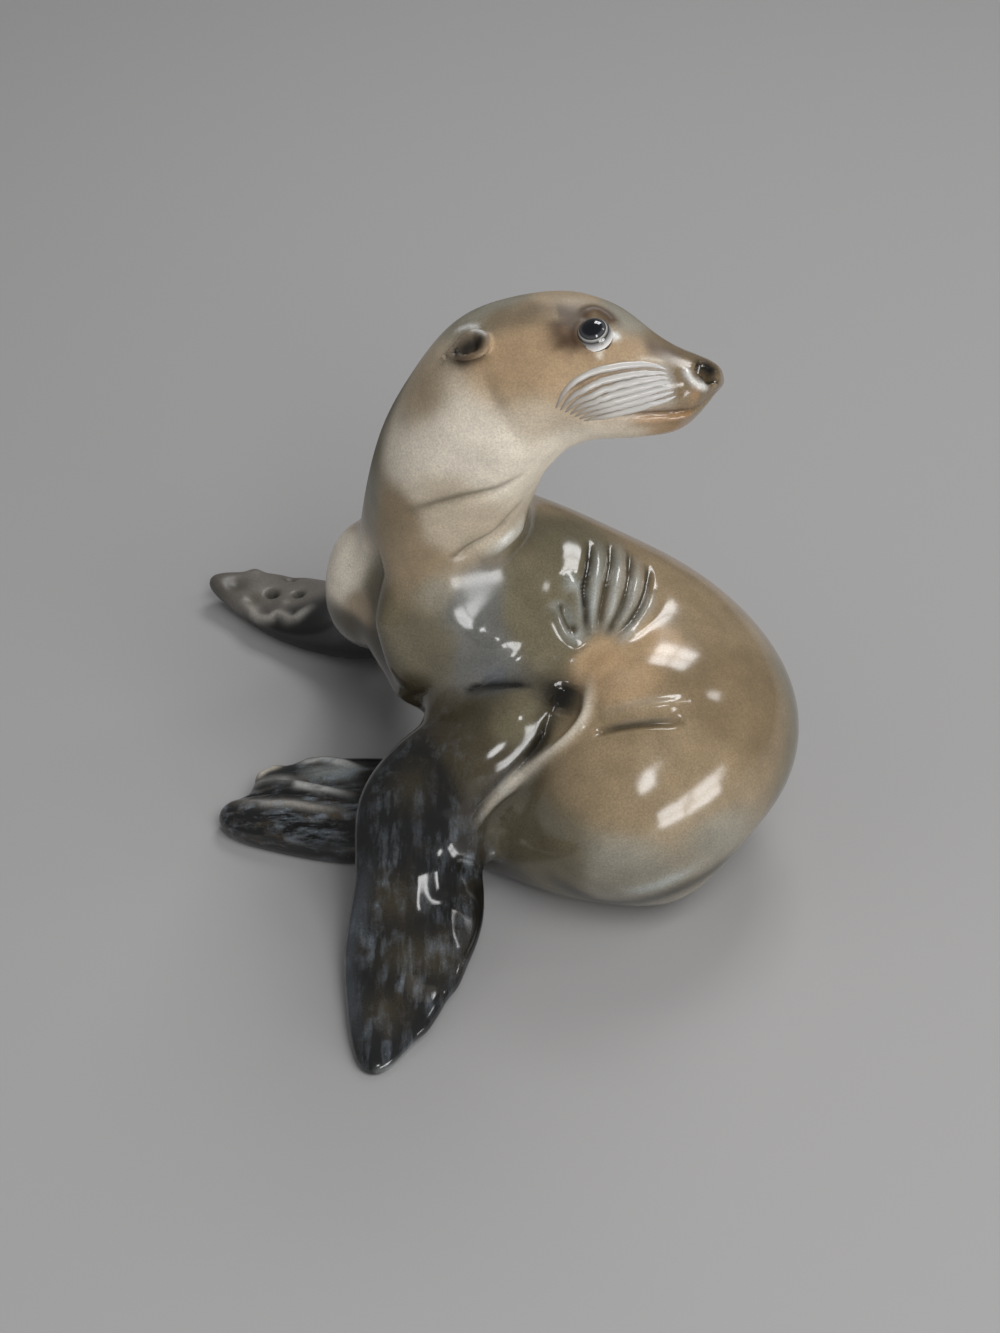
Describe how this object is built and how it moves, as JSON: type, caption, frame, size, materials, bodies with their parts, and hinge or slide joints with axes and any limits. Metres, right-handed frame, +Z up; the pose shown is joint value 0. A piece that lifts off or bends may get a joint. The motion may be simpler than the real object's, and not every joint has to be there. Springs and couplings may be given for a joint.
{
  "type": "sea lion figurine",
  "caption": "Glazed porcelain ornament of a sea lion that sits on its haunches and looks back over its shoulder, to stand on a shelf or table.",
  "frame": {"origin": "on the flat foot under the haunches, at the height of the table", "axes": "+X the way the head looks, +Y away from the side that faces the viewer, +Z up"},
  "size_m": [0.1706, 0.2067, 0.1632],
  "materials": {
    "glazed_porcelain": "clear gloss glaze over airbrushed brown, grey and cream underglaze colour"
  },
  "bodies": {
    "root": {"sea_lion": "glazed_porcelain"}
  },
  "joints": []
}
